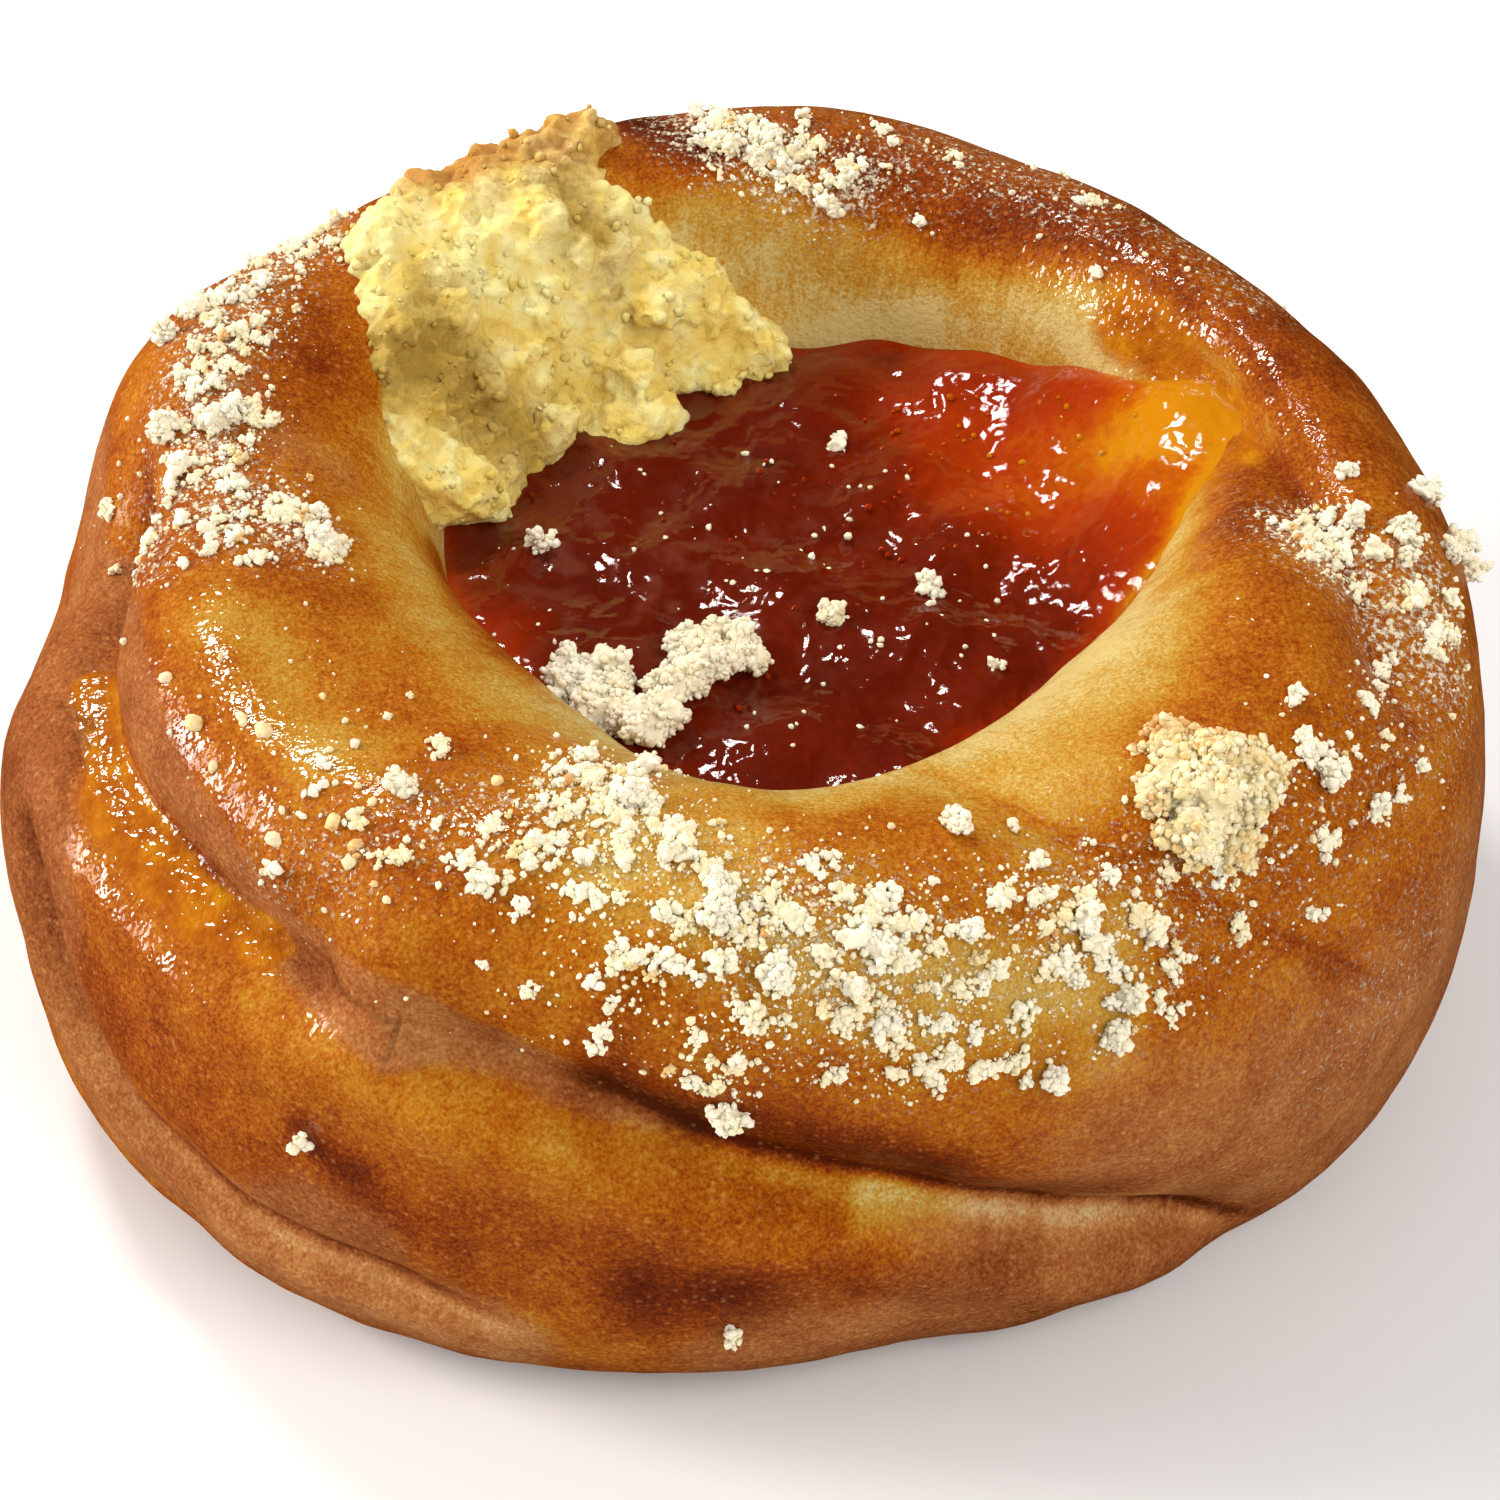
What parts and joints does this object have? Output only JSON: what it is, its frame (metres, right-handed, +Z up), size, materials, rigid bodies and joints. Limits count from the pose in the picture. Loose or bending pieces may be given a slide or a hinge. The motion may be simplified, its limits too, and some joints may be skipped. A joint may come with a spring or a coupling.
{
  "type": "jam bun",
  "caption": "Round bun of twisted sweet dough with jam in its sunken middle, a patch of baked crumble at one side and crumbs over the crust.",
  "frame": {"origin": "middle of the flat base, under the middle of the bun's box", "axes": "+Z up, +X to the bun's right as it is shown, where the jam climbs the wall, and -Y to its front"},
  "size_m": [0.1097, 0.1041, 0.0499],
  "materials": {
    "crust": "golden baked crust with an egg-wash gloss in broken patches",
    "jam": "wet, dark red to orange, with a wrinkled skin",
    "crumble": "matt, grainy, pale butter yellow",
    "crumb": "matt, floury, cream"
  },
  "bodies": {
    "root": {"dough": "crust", "jam": "jam", "crumble_patch": "crumble", "crumb_right": "crumb", "crumb_front": "crumb"}
  },
  "joints": []
}
